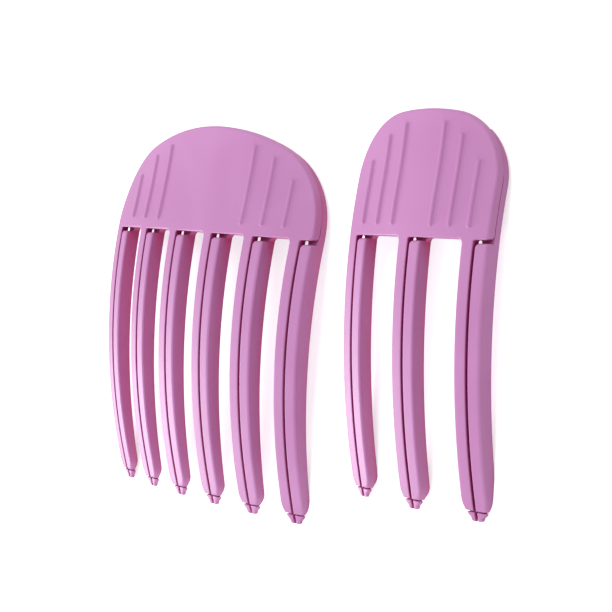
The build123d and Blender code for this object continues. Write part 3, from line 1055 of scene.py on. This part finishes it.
@dataclass
class Comb:
    """One moulded comb of a clip: its plate, its half of every tine, and its side of the hinge."""

    form: ClipForm
    side: Side
    hinge: Hinge
    rims: Rims
    finish: MouldedPlastic
    body: str
    nub_form: NubForm = NubForm()
    arc_steps: int = 6
    rod_steps: int = 6
    rod_sides: int = 28
    rib_sides: int = 8
    nub_steps: tuple[int, int] = (5, 3)
    lap: float = 0.8
    resting: float = 0.00005
    grid: Point = (2.1, 2.4)
    nub_grid: Point = (5.0, 0.6)
    crease: float = 38.0

    def mirrored(self, points: Sequence[RimPoint]) -> list[RimPoint]:
        """The outline for this comb's side, from the one drawn for left halves.

        Args:
            points: Outline, counter-clockwise.

        Returns:
            The outline, counter-clockwise.
        """
        if self.side is Side.LEFT:
            return list(points)
        return [RimPoint(-p.x, p.y, p.near, p.far) for p in reversed(points)]

    def rim(self, point: Point, width: float, own: bool = True) -> RimPoint:
        """Outline point whose rims are rounded on the face that its layer shows.

        Args:
            point: Plan point.
            width: Rounding on the front, and the most of it on the rear.
            own: Whether it belongs to the layer of the comb's own plate.

        Returns:
            The outline's point.
        """
        if (self.side is Side.LEFT) == own:
            return RimPoint(*point, width, 0.0)
        return RimPoint(*point, 0.0, min(width, self.rims.rear))

    def flank(self, x: float, start: float) -> list[Point]:
        """Points down the outer side of a left half-tine, round its tip and up to the split.

        Args:
            x: Place of the tine's split line.
            start: Y above the head's edge where the side starts.

        Returns:
            Plan points, the last two on the tip's end.
        """
        form = self.form
        low = form.at(form.step, 0.0)[0] - form.edge_y
        radius = (form.tip_inset**2 + form.tip_curve**2) / (2 * form.tip_inset)
        sweep = asin(form.tip_curve / radius)
        points = [(form.half_tine, start)]
        for turn in spaced(0.0, sweep, self.arc_steps):
            points.append((
                form.half_tine - radius * (1 - cos(turn)),
                low + form.tip_curve - radius * sin(turn),
            ))
        points.append((form.split / 2, low))
        return [form.lean(x, across, along) for across, along in points]

    def plate_outline(self) -> list[RimPoint]:
        """Outline of the head's plate with its half-tines.

        Returns:
            The outline, counter-clockwise.
        """
        form, rims, low = self.form, self.rims, self.form.edge_y
        corner = rounding(form.window_round, self.arc_steps)
        points: list[RimPoint] = []
        if self.side is Side.LEFT:
            points += [self.rim((form.half_width - b, low + a), rims.shown) for a, b in corner]
            arcs = form.head_arcs(0.0)
        else:
            points.append(self.rim((form.half_width, low), rims.shown))
            arcs = form.head_arcs(form.rear_inset)
        points += [self.rim(point, rims.shown) for point in arcs]
        for i, x in enumerate(form.centres()):
            if i:
                left, _ = form.lean(x, form.half_tine, 0.0)
                points += [self.rim((left - a, low - b), rims.shown) for a, b in reversed(corner)]
                side = self.flank(x, -form.window_round)[1:]
            else:
                side = self.flank(x, 0.0)
            points += [self.rim(point, rims.shown) for point in side[:-1]]
            points.append(self.rim(side[-1], rims.split))
            for a, b in rounding(form.inner_round, self.arc_steps):
                points.append(self.rim(form.lean(x, form.split / 2 - a, -b), rims.split))
        return self.mirrored(points)

    def rest_outlines(self) -> list[list[RimPoint]]:
        """Outlines of the half-tines' other layer, which stops at the shoulders.

        Returns:
            An outline for every tine, counter-clockwise.
        """
        form, rims = self.form, self.rims
        inner, shoulder = form.split / 2, form.at(form.edge - form.shoulder_gap, 0.0)[0] - form.edge_y
        turns = quarter(self.arc_steps)
        outlines = []
        for x in form.centres():
            points = [form.lean(x, form.half_tine, shoulder), *self.flank(x, shoulder)[1:]]
            widths = [rims.shown] * (len(points) - 1) + [rims.split]
            if self.side is Side.RIGHT:
                for turn, (a, b) in zip(turns, rounding(form.shoulder_round, self.arc_steps)):
                    points.append(form.lean(x, inner + a, shoulder - b))
                    widths.append(rims.split + (rims.shown - rims.split) * turn / (pi / 2))
            else:
                points.append(form.lean(x, inner, shoulder))
                widths.append(rims.split)
            outlines.append(self.mirrored([self.rim(p, width, own=False) for p, width in zip(points, widths)]))
        return outlines

    def frame(self) -> HingeFrame:
        """The hinge's frame on this clip."""
        return HingeFrame.of(self.form, self.hinge)

    def laid(self, rings: Sequence[Ring]) -> Solid:
        """Solid through rings of the clip's own frame, carried to the flat layout."""
        return lathe_bar([[self.form.unwrap(point) for point in ring] for ring in rings])

    def rod(self, radius: float, start: float, end: float, edge: float = 0.0) -> Solid:
        """Round bar on the hinge axis, in the flat layout.

        Args:
            radius: Radius in millimetres.
            start: First end, from the clip's middle.
            end: Second end.
            edge: Chamfer on both ends.

        Returns:
            The bar.
        """
        frame = self.frame()
        stations = [(x, radius) for x in spaced(start, end, self.rod_steps)]
        if edge:
            tips = (start, radius - edge), (end, radius - edge)
            stations = [tips[0], (start + edge, radius), *stations[1:-1], (end - edge, radius), tips[1]]
        return self.laid([frame.ring(x, size, self.rod_sides) for x, size in stations])

    def pair(self, radius: float, start: float, end: float, edge: float = 0.0) -> list[Solid]:
        """The same round bar on each side of the middle, in the flat layout."""
        return [self.rod(radius, start, end, edge), self.rod(radius, -end, -start, edge)]

    def seam(self) -> Solid:
        """Room along the hinge that splays behind the axis, so that the combs can open.

        Returns:
            The room in the flat layout.
        """
        hinge, frame, way = self.hinge, self.frame(), -self.side.value
        near = way * hinge.seam_gap / 2
        wide = near + way * hinge.seam_behind * tan(radians(hinge.splay))
        far = -way * hinge.seam_beyond
        section = [
            (near, hinge.seam_before), (near, 0.0), (wide, -hinge.seam_behind),
            (far, -hinge.seam_behind), (far, hinge.seam_before),
        ]
        reach = self.form.half_width + hinge.seam_past
        return self.laid([[frame.point(x, up, out) for up, out in section] for x in spaced(-reach, reach, int(reach))])

    def groove(self, x: float, start: float, end: float) -> Solid:
        """Shallow groove in the rear face for one leg of the spring.

        Args:
            x: Place of the leg.
            start: Distance up the head where the groove starts.
            end: Distance where it ends.

        Returns:
            The groove's room in the flat layout.
        """
        hinge, frame = self.hinge, self.frame()
        floor = (1 - hinge.depth_share) * self.form.thickness - hinge.groove_depth
        half, low = hinge.groove_width / 2, -floor - hinge.groove_room
        corners = [(x - half, -floor), (x + half, -floor), (x + half, low), (x - half, low)]
        return self.laid([
            [frame.point(across, up, out) for across, out in corners]
            for up in spaced(start, end, self.rod_steps)
        ])

    def lip_block(self) -> Solid:
        """Rear half of the lip above the hinge, which the front comb carries.

        Returns:
            The block in the flat layout.
        """
        form, cut = self.form, self.frame().origin.y - self.hinge.lip_below
        kept = [point for point in form.head_arcs(form.rear_inset) if point[1] > cut]
        points = [(kept[0][0], cut), *kept, (kept[-1][0], cut)]
        outline = [RimPoint(*point, 0.0, self.rims.rear) for point in points]
        block = moulded_bar(outline, form.near_half - self.lap, form.thickness)
        return combined(block, [self.seam()], Blend.CUT)

    def rib(self, x: float, foot: float, length: float) -> Solid:
        """Raised bead on the head's front with round ends.

        Args:
            x: Place of the bead's middle line.
            foot: Y of its low end.
            length: Its length.

        Returns:
            The bead in the flat layout.
        """
        form, half = self.form, self.form.rib_width / 2
        low, high = foot + half, foot + length - half
        turns = spaced(0.0, pi, self.rib_sides)
        rings = []
        for spread, rise in RIB_PROFILE:
            size, depth = half * spread, -form.rib_height * rise
            ring = [Vector((x + size * cos(turn), high + size * sin(turn), -depth)) for turn in turns]
            ring += [Vector((x - size * cos(turn), low - size * sin(turn), -depth)) for turn in turns]
            rings.append(ring)
        return lathe_bar(rings)

    def ribs(self) -> list[Solid]:
        """Beads on each side of the head, the outer ones shorter.

        Returns:
            The beads in the flat layout.
        """
        form = self.form
        beads = []
        for i, share in enumerate(form.rib_shares):
            x = form.rib_outer - i * form.rib_spacing
            length = share * form.head_height - form.rib_foot
            beads += [self.rib(place, form.edge_y + form.rib_foot, length) for place in (x, -x)]
        return beads

    def nub_layers(self, x: float, root: float, step: float, tip: float) -> list[Solid]:
        """Core and cover of a half-tine's end.

        Args:
            x: Place of the tine's split line.
            root: Y above the head's edge where the core starts.
            step: Y where the tine ends.
            tip: Y where the nub ends.

        Returns:
            Both solids in the flat layout.
        """
        form, nub, inner = self.form, self.nub_form, self.form.split / 2
        (wide, slim), (thick, _) = nub.halves, nub.depths
        corner_steps, rim_steps = self.nub_steps
        side, end, start = wide - nub.core_inset, tip + nub.core_inset, step - nub.groove
        core = [
            (inner, root), (side, root), (side, step), (slim, tip + nub.corner),
            (slim - nub.core_slimmer, end), (inner, end),
        ]
        cover = [(inner, start), (wide, start), (wide - nub.side_taper, start - nub.side_length)]
        cover += [(slim - a * nub.corner_share, tip + b) for a, b in rounding(nub.corner, corner_steps)]
        cover.append((inner, tip))
        layers = (
            (core, nub.core_front, thick - nub.core_thinner, nub.core_rim),
            (cover, 0.0, thick, nub.cover_rim),
        )
        solids = []
        for plan, near, far, rim in layers:
            outline = [RimPoint(*form.lean(x, a, b), rim, rim) for a, b in plan]
            solids.append(moulded_bar(self.mirrored(outline), near, far, rim_steps))
        return solids

    def nub(self, x: float) -> Solid:
        """Slimmer end of one half-tine behind a fine groove.

        Args:
            x: Place of the tine's split line, for the left half's outline.

        Returns:
            The end in the clip's own frame.
        """
        form, nub = self.form, self.nub_form
        root, step, tip = (
            form.at(place, 0.0)[0] - form.edge_y
            for place in (form.step + nub.root, form.step, form.step - form.nub_length)
        )
        core, cover = self.nub_layers(x, root, step, tip)
        bar = gridded(combined(core, [cover], Blend.JOIN), *self.nub_grid)
        thick, thin = nub.depths
        for vert in bar.verts:
            share = (vert.co.y - form.edge_y - tip) / (step - tip)
            scale = (thin + (thick - thin) * min(max(share, 0.0), 1.0)) / thick
            middle = form.sheet(vert.co.y, 0.0) - (nub.setback - vert.co.z * scale)
            vert.co.z = sqrt((form.cross_radius + middle) ** 2 - vert.co.x**2) - form.cross_radius
        return bar

    def front_solid(self) -> Solid:
        """The front comb without its nubs, with lip, outer knuckles, bore, groove and ribs.

        Returns:
            The comb in the flat layout.
        """
        form, hinge, inner = self.form, self.hinge, self.hinge.rear_end
        reach = hinge.end + hinge.side_gap
        leg = hinge.up_leg + hinge.wire_radius + hinge.coil_clearance
        knuckles = self.pair(hinge.knuckle_radius, inner - hinge.front_overlap, hinge.end, hinge.knuckle_chamfer)
        return worked(moulded_bar(self.plate_outline(), 0.0, form.near_half), [
            (Blend.JOIN, [moulded_bar(o, form.near_half - self.lap, form.thickness) for o in self.rest_outlines()]),
            (Blend.JOIN, [self.lip_block()]),
            (Blend.JOIN, knuckles),
            (Blend.CUT, [self.rod(hinge.knuckle_room, -inner, inner)]),
            (Blend.CUT, [self.rod(hinge.pin_radius, -reach, reach)]),
            (Blend.CUT, [self.groove(-hinge.coil_half, 0.0, leg)]),
            (Blend.JOIN, self.ribs()),
        ])

    def rear_solid(self) -> Solid:
        """The rear comb without its nubs, with inner knuckles, room for the coil, bore and groove.

        Returns:
            The comb in the flat layout.
        """
        form, hinge, outer = self.form, self.hinge, self.hinge.rear_end
        coil = hinge.coil_radius + hinge.wire_radius + hinge.coil_clearance
        leg = -hinge.down_leg - hinge.wire_radius - hinge.coil_clearance
        return worked(moulded_bar(self.plate_outline(), form.far_half, form.thickness), [
            (Blend.CUT, [self.seam()]),
            (Blend.JOIN, [moulded_bar(o, 0.0, form.far_half + self.lap) for o in self.rest_outlines()]),
            (Blend.JOIN, self.pair(hinge.knuckle_radius, hinge.bay_half + hinge.rear_overlap, outer)),
            (Blend.CUT, self.pair(hinge.knuckle_room, outer - hinge.side_gap, hinge.end + hinge.side_gap)),
            (Blend.CUT, [self.rod(coil, -hinge.bay_half, hinge.bay_half)]),
            (Blend.CUT, [self.rod(hinge.pin_radius + hinge.pin_clearance, -outer, outer)]),
            (Blend.CUT, [self.groove(hinge.coil_half, leg, 0.0)]),
        ])

    def build(self, placing: Matrix, name: str) -> bpy.types.Object:
        """Builds the comb, wraps it to its curves and dresses it.

        Args:
            placing: Matrix to the row frame.
            name: Name of the CAD node it replaces.

        Returns:
            The finished piece.
        """
        solid = gridded(self.front_solid() if self.side is Side.LEFT else self.rear_solid(), *self.grid)
        for vert in solid.verts:
            vert.co = self.form.wrap(vert.co)
        nubs = [self.nub(-self.side.value * x) for x in self.form.centres()]
        whole = gathered([solid, *nubs])
        bmesh.ops.remove_doubles(whole, verts=whole.verts, dist=WELD)
        bmesh.ops.transform(whole, matrix=placing, verts=whole.verts)
        for vert in whole.verts:
            vert.co.z = max(vert.co.z, self.resting)
        obj = to_object(whole, name + "_moulding")
        smooth(obj, self.crease)
        self.finish.dress(obj)
        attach(obj, self.body)
        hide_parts(name)
        report(obj)
        return obj


def smooth(obj: bpy.types.Object, angle: float, weight: int = 60) -> None:
    """Smooths a mesh's shading.

    Args:
        obj: The piece.
        angle: Least angle of a crease, in degrees.
        weight: How much more large faces count.
    """
    obj.data.shade_smooth()
    obj.data.set_sharp_from_angle(angle=radians(angle))
    weighting = obj.modifiers.new("weighting", "WEIGHTED_NORMAL")
    weighting.keep_sharp = True
    weighting.weight = weight


def report(obj: bpy.types.Object) -> None:
    """Logs a finished piece with its size."""
    LOG.info("%s: %d faces, %s mm", obj.name, len(obj.data.polygons), [round(v / MM, 2) for v in obj.dimensions])


@dataclass
class HingeSet:
    """Pin and torsion spring of one clip's hinge."""

    form: ClipForm
    hinge: Hinge
    steel: DrawnSteel
    spring_steel: DrawnSteel
    body: str
    pin_sides: int = 32
    wire_sides: int = 12
    turn_steps: int = 28
    up_steps: int = 4
    down_steps: int = 8
    end_share: float = 0.8
    blend_half: float = 1.6
    crease: float = 35.0

    def frame(self) -> HingeFrame:
        """The hinge's frame on this clip."""
        return HingeFrame.of(self.form, self.hinge)

    def pin(self, placing: Matrix) -> bpy.types.Object:
        """Steel pin with chamfered ends that joins the knuckles.

        Args:
            placing: Matrix to the row frame.

        Returns:
            The finished piece.
        """
        hinge, frame = self.hinge, self.frame()
        half, edge, full = hinge.end - hinge.pin_recess, hinge.pin_chamfer, hinge.pin_radius
        stations = [
            (-half, full - edge), (-half + edge, full), (-half / 2, full), (half / 2, full),
            (half - edge, full), (half, full - edge),
        ]
        bar = lathe_bar([frame.ring(x, radius, self.pin_sides) for x, radius in stations])
        bmesh.ops.transform(bar, matrix=placing, verts=bar.verts)
        return self.finished(bar, self.form.name + "_hinge_pin", self.steel)

    def wire_line(self) -> list[Vector]:
        """Centre line of the spring's wire.

        Returns:
            Its points in the clip's own frame, from the leg up the lip to the one down the rear.
        """
        hinge, frame = self.hinge, self.frame()
        radius, start = hinge.coil_radius, -hinge.coil_half
        points = [frame.point(start, hinge.up_leg * (1 - i / self.up_steps), -radius) for i in range(self.up_steps)]
        for i in range(hinge.coil_turns * self.turn_steps + 1):
            turn = 2 * pi * i / self.turn_steps
            x = start + hinge.coil_pitch * i / self.turn_steps
            points.append(frame.point(x, -radius * sin(turn), -radius * cos(turn)))
        legs = [-hinge.down_leg * (i + 1) / self.down_steps for i in range(self.down_steps)]
        return points + [frame.point(-start, leg, -radius) for leg in legs]

    def spring(self, placing: Matrix) -> bpy.types.Object:
        """Round wire wound round the pin, with one leg up the lip and one down the rear plate.

        Args:
            placing: Matrix to the row frame.

        Returns:
            The finished piece.
        """
        line, count = self.wire_line(), self.wire_sides
        last = len(line) - 1
        ways = [(line[min(i + 1, last)] - line[max(i - 1, 0)]).normalized() for i in range(len(line))]
        turns = [2 * pi * k / count for k in range(count)]
        side = ways[0].orthogonal().normalized()
        rings = []
        for i, (point, way) in enumerate(zip(line, ways)):
            side = (side - way * side.dot(way)).normalized()
            other = way.cross(side)
            size = self.hinge.wire_radius * (self.end_share if i in (0, last) else 1.0)
            rings.append([point + (side * cos(turn) + other * sin(turn)) * size for turn in turns])
        tube = lathe_bar(rings)
        bmesh.ops.transform(tube, matrix=placing, verts=tube.verts)
        name = self.form.name + "_torsion_spring"
        obj = self.finished(tube, name, self.spring_steel, rides=False)
        start = placing @ self.frame().point(0.0, self.blend_half, 0.0)
        end = placing @ self.frame().point(0.0, -self.blend_half, 0.0)
        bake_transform(obj)
        return obj

    def finished(self, bm: Solid, node: str, steel: DrawnSteel, rides: bool = True) -> bpy.types.Object:
        """Turns a steel solid into a dressed piece in place of its CAD node.

        Args:
            bm: Solid in the row frame.
            node: CAD node that it replaces.
            steel: Its finish.
            rides: Whether it moves as a whole with the front combs.

        Returns:
            The piece.
        """
        obj = to_object(bm, node + "_steel")
        smooth(obj, self.crease)
        steel.dress(obj)
        if rides:
            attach(obj, "front_combs")
        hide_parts(node)
        report(obj)
        return obj


@dataclass
class Clip:
    """One clip: its two combs, its pin and its spring."""

    form: ClipForm
    hinge: Hinge
    rims: Rims
    plastic: MouldedPlastic
    pin_steel: DrawnSteel
    spring_steel: DrawnSteel
    joint: str
    rear_body: str

    def build(self, joints: Sequence[dict]) -> list[bpy.types.Object]:
        """Builds the clip's pieces where the frame has its hinge.

        Args:
            joints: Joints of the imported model.

        Returns:
            The clip's pieces.
        """
        place = next(Vector(j["pos_m"]) for j in joints if j["name"] == self.joint)
        placing = self.form.place_matrix(place, HingeFrame.of(self.form, self.hinge).origin)
        name = self.form.name
        front = Comb(self.form, Side.LEFT, self.hinge, self.rims, self.plastic, "front_combs")
        rear = Comb(self.form, Side.RIGHT, self.hinge, self.rims, self.plastic, self.rear_body)
        hinge_set = HingeSet(self.form, self.hinge, self.pin_steel, self.spring_steel, self.rear_body)
        return [
            front.build(placing, name + "_front_comb"),
            rear.build(placing, name + "_rear_comb"),
            hinge_set.pin(placing),
            hinge_set.spring(placing),
        ]


@dataclass(frozen=True)
class Lamp:
    """Soft square lamp aimed at the clips."""

    name: str
    place: tuple[float, float, float]
    size: float
    power: float
    colour: tuple[float, float, float] = (1.0, 1.0, 1.0)

    def hang(self, aim: Vector) -> bpy.types.Object:
        """Hangs the lamp and aims it.

        Args:
            aim: Point that it shines at.

        Returns:
            The lamp.
        """
        light = bpy.data.lights.new(self.name, "AREA")
        light.shape, light.size, light.energy, light.color = "SQUARE", self.size, self.power, self.colour
        obj = bpy.data.objects.new(self.name, light)
        obj.location = self.place
        obj.rotation_euler = (aim - Vector(self.place)).to_track_quat("-Z", "Y").to_euler()
        bpy.context.scene.collection.objects.link(obj)
        return obj


@dataclass(frozen=True)
class PhotoCamera:
    """Camera fitted to the photograph: its axes, its place in metres and its focal length in pixels."""

    right: tuple[float, float, float] = (0.645321, 0.065247, -0.761119)
    back: tuple[float, float, float] = (0.759756, 0.048953, 0.648362)
    place: tuple[float, float, float] = (0.293434, 0.021405, 0.247067)
    focal: float = 1639.6082
    picture: int = 612
    sensor: float = 36.0

    def set_up(self) -> bpy.types.Object:
        """Sets the camera up as the scene's own.

        Returns:
            The camera.
        """
        back = Vector(self.back)
        up = back.cross(Vector(self.right)).normalized()
        right = up.cross(back).normalized()
        camera = bpy.data.cameras.new("camera")
        camera.sensor_width, camera.lens = self.sensor, self.focal / self.picture * self.sensor
        obj = bpy.data.objects.new("camera", camera)
        turn = Matrix((right, up, back)).transposed().to_4x4()
        obj.matrix_world = Matrix.Translation(Vector(self.place)) @ turn
        bpy.context.scene.collection.objects.link(obj)
        bpy.context.scene.camera = obj
        return obj


@dataclass(frozen=True)
class Studio:
    """White floor, even white surroundings, soft lamps and the camera."""

    lamps: tuple[Lamp, ...] = (
        Lamp("key", (-1.2, -0.45, 0.55), 0.6, 12.0),
        Lamp("foot", (0.2, -0.9, 0.36), 0.4, 3.4),
        Lamp("top", (0.05, 0.7, 0.85), 0.8, 5.6),
    )
    camera: PhotoCamera = PhotoCamera()
    aim: tuple[float, float, float] = (0.0, 0.0, 0.0)
    white: Colour = (1.0, 1.0, 1.0, 1.0)
    surround: float = 0.37
    floor_size: float = 6.0
    floor_steps: int = 8
    floor_tone: Colour = (0.93, 0.93, 0.93, 1.0)
    floor_roughness: float = 0.9
    floor_glow: float = 0.62

    def shown_white(self, drawing: Drawing) -> Socket:
        """One for rays that show the background: from the camera, a reflection or through glass.

        Args:
            drawing: Drawing that takes the nodes.

        Returns:
            The mask.
        """
        path = drawing.node("ShaderNodeLightPath")
        shown = drawing.value("MAXIMUM", path.outputs["Is Camera Ray"], path.outputs["Is Glossy Ray"])
        return drawing.value("MAXIMUM", shown, path.outputs["Is Transmission Ray"])

    def set_world(self) -> None:
        """Even light from all round, white where it shows."""
        world = bpy.data.worlds.new("white_room")
        bpy.context.scene.world = world
        world.use_nodes = True
        drawing = Drawing(world.node_tree)
        background = world.node_tree.nodes["Background"]
        strength = drawing.value("MULTIPLY_ADD", self.shown_white(drawing), 1.0 - self.surround, self.surround)
        drawing.feed(background, {"Color": self.white, "Strength": strength})

    def lay_floor(self) -> bpy.types.Object:
        """Lays the floor under the clips.

        Returns:
            The floor.
        """
        material, drawing, shader = new_material("white_floor")
        seen = drawing.node("ShaderNodeLightPath").outputs["Is Camera Ray"]
        drawing.feed(shader, {
            "Base Color": self.floor_tone,
            "Roughness": self.floor_roughness,
            "Specular IOR Level": 0.0,
            "Emission Color": self.white,
            "Emission Strength": drawing.value("MULTIPLY", seen, self.floor_glow),
        })
        bm = bmesh.new()
        steps = self.floor_steps
        bmesh.ops.create_grid(bm, x_segments=steps, y_segments=steps, size=self.floor_size / 2)
        floor = to_object(bm, "floor")
        floor.data.materials.append(material)
        return floor

    def build(self) -> None:
        """Sets the whole studio."""
        self.set_world()
        self.lay_floor()
        for lamp in self.lamps:
            lamp.hang(Vector(self.aim))
        self.camera.set_up()
        bpy.context.scene.view_settings.view_transform = "Standard"


WIDE = ClipForm(
    name="wide", tines=6, pitch=14.4, thickness=4.05, cross_radius=178.0, tine_radius=138.0,
    edge=15.0, brow_radius=110.0, brow_length=5.0, lip_radius=180.0, head_height=26.2,
    side_height=1.1, corner_radius=21.7, tine_length=64.2, nub_length=2.5, shoulder_gap=1.0,
    fan=0.7, rib_outer=30.4, rib_spacing=6.8, rib_foot=2.4, rib_shares=(0.525, 0.72, 0.82),
    tilt=2.706899, turn=0.0,
)
NARROW = ClipForm(
    name="narrow", tines=3, pitch=17.6, thickness=3.8, cross_radius=110.0, tine_radius=160.0,
    edge=11.0, brow_radius=140.0, brow_length=11.0, lip_radius=145.0, head_height=27.4,
    side_height=11.8, corner_radius=15.1, tine_length=56.0, nub_length=2.3, shoulder_gap=0.7,
    fan=0.3, rib_outer=15.9, rib_spacing=5.05, rib_foot=2.3, rib_shares=(0.6, 0.8, 0.89),
    tilt=1.011072, turn=1.0, depth_shares=(1.0, 0.86, 0.55),
)


def main() -> None:
    """Loads the frame and builds both clips and the studio."""
    logging.basicConfig(level=logging.INFO, format="%(message)s")
    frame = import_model()
    plastic, hinge, rims = MouldedPlastic(), Hinge(), Rims()
    pin_steel = DrawnSteel(
        "bright_pin_steel", bright=(0.66, 0.65, 0.63, 1.0), dull=(0.5, 0.49, 0.47, 1.0),
        roughness=0.2, along=(0.12, 1.0, 1.0),
    )
    spring_steel = DrawnSteel(
        "oiled_spring_steel", bright=(0.42, 0.41, 0.4, 1.0), dull=(0.28, 0.27, 0.27, 1.0),
        roughness=0.26, along=(1.0, 0.5, 0.5),
    )
    for form, joint, body in ((WIDE, "wide_comb_hinge", "wide_rear"), (NARROW, "narrow_comb_hinge", "narrow_rear")):
        Clip(form, hinge, rims, plastic, pin_steel, spring_steel, joint, body).build(frame["joints"])
    Studio().build()
    bpy.context.view_layer.update()


if __name__ == "__main__":
    main()
